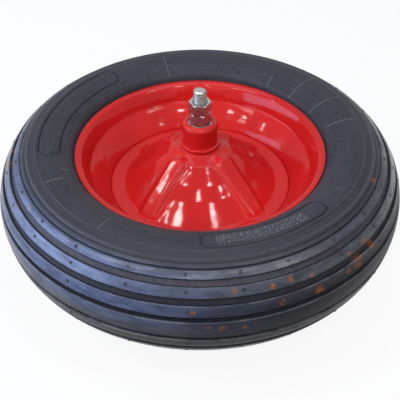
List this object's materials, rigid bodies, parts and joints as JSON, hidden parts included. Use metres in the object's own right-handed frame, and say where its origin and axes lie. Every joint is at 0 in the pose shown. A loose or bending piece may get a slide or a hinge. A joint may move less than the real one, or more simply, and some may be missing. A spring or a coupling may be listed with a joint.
{
  "type": "wheelbarrow wheel",
  "caption": "Pneumatic wheelbarrow wheel with a ribbed tyre, a steel rim of pressed discs and a threaded axle in ball bearings.",
  "frame": {"origin": "centre of the wheel, on the axle's axis and on the tyre's mid-plane", "axes": "+Z along the axle, towards the side that the picture shows; the tyre lies in the XY plane"},
  "size_m": [0.374, 0.374, 0.2134],
  "materials": {
    "tyre": "dark blue-grey moulded rubber with a dull sheen",
    "tube": "smooth black butyl rubber",
    "paint": "glossy red paint on pressed steel",
    "zinc": "zinc plated, slightly dull",
    "bearing_steel": "ground bearing steel",
    "valve_brass": "plain brass",
    "cap_plastic": "black moulded plastic"
  },
  "bodies": {
    "axle": {"axle": "zinc", "spacer_tube": "zinc", "inner_race_upper": "bearing_steel", "inner_race_lower": "bearing_steel", "race_washer_upper": "zinc", "race_washer_lower": "zinc", "inner_nut_upper": "zinc", "inner_nut_lower": "zinc", "outer_nut_upper": "zinc", "outer_nut_lower": "zinc"},
    "wheel": {"tyre": "tyre", "inner_tube": "tube", "rim_barrel": "paint", "disc_upper": "paint", "disc_lower": "paint", "hub_weld_upper": "paint", "hub_weld_lower": "paint", "hub_tube": "paint", "outer_race_upper": "bearing_steel", "outer_race_lower": "bearing_steel", "bearing_shields_upper": "bearing_steel", "bearing_shields_lower": "bearing_steel", "valve_stem": "valve_brass", "valve_core": "valve_brass", "valve_nut": "valve_brass", "valve_cap": "cap_plastic"},
    "ball_train": {"bearing_balls_upper": "bearing_steel", "bearing_balls_lower": "bearing_steel", "ball_cage_upper": "bearing_steel", "ball_cage_lower": "bearing_steel"}
  },
  "joints": [
    {"name": "wheel_spin", "type": "hinge", "parent": "axle", "child": "wheel", "pos_m": [0, 0, 0], "axis": [0, 0, 1], "continuous": true},
    {"name": "cage_spin", "type": "hinge", "parent": "axle", "child": "ball_train", "pos_m": [0, 0, 0], "axis": [0, 0, 1], "continuous": true}
  ],
  "couplings": [
    {"joint": "cage_spin", "follows": "wheel_spin", "ratio": 0.6178}
  ]
}
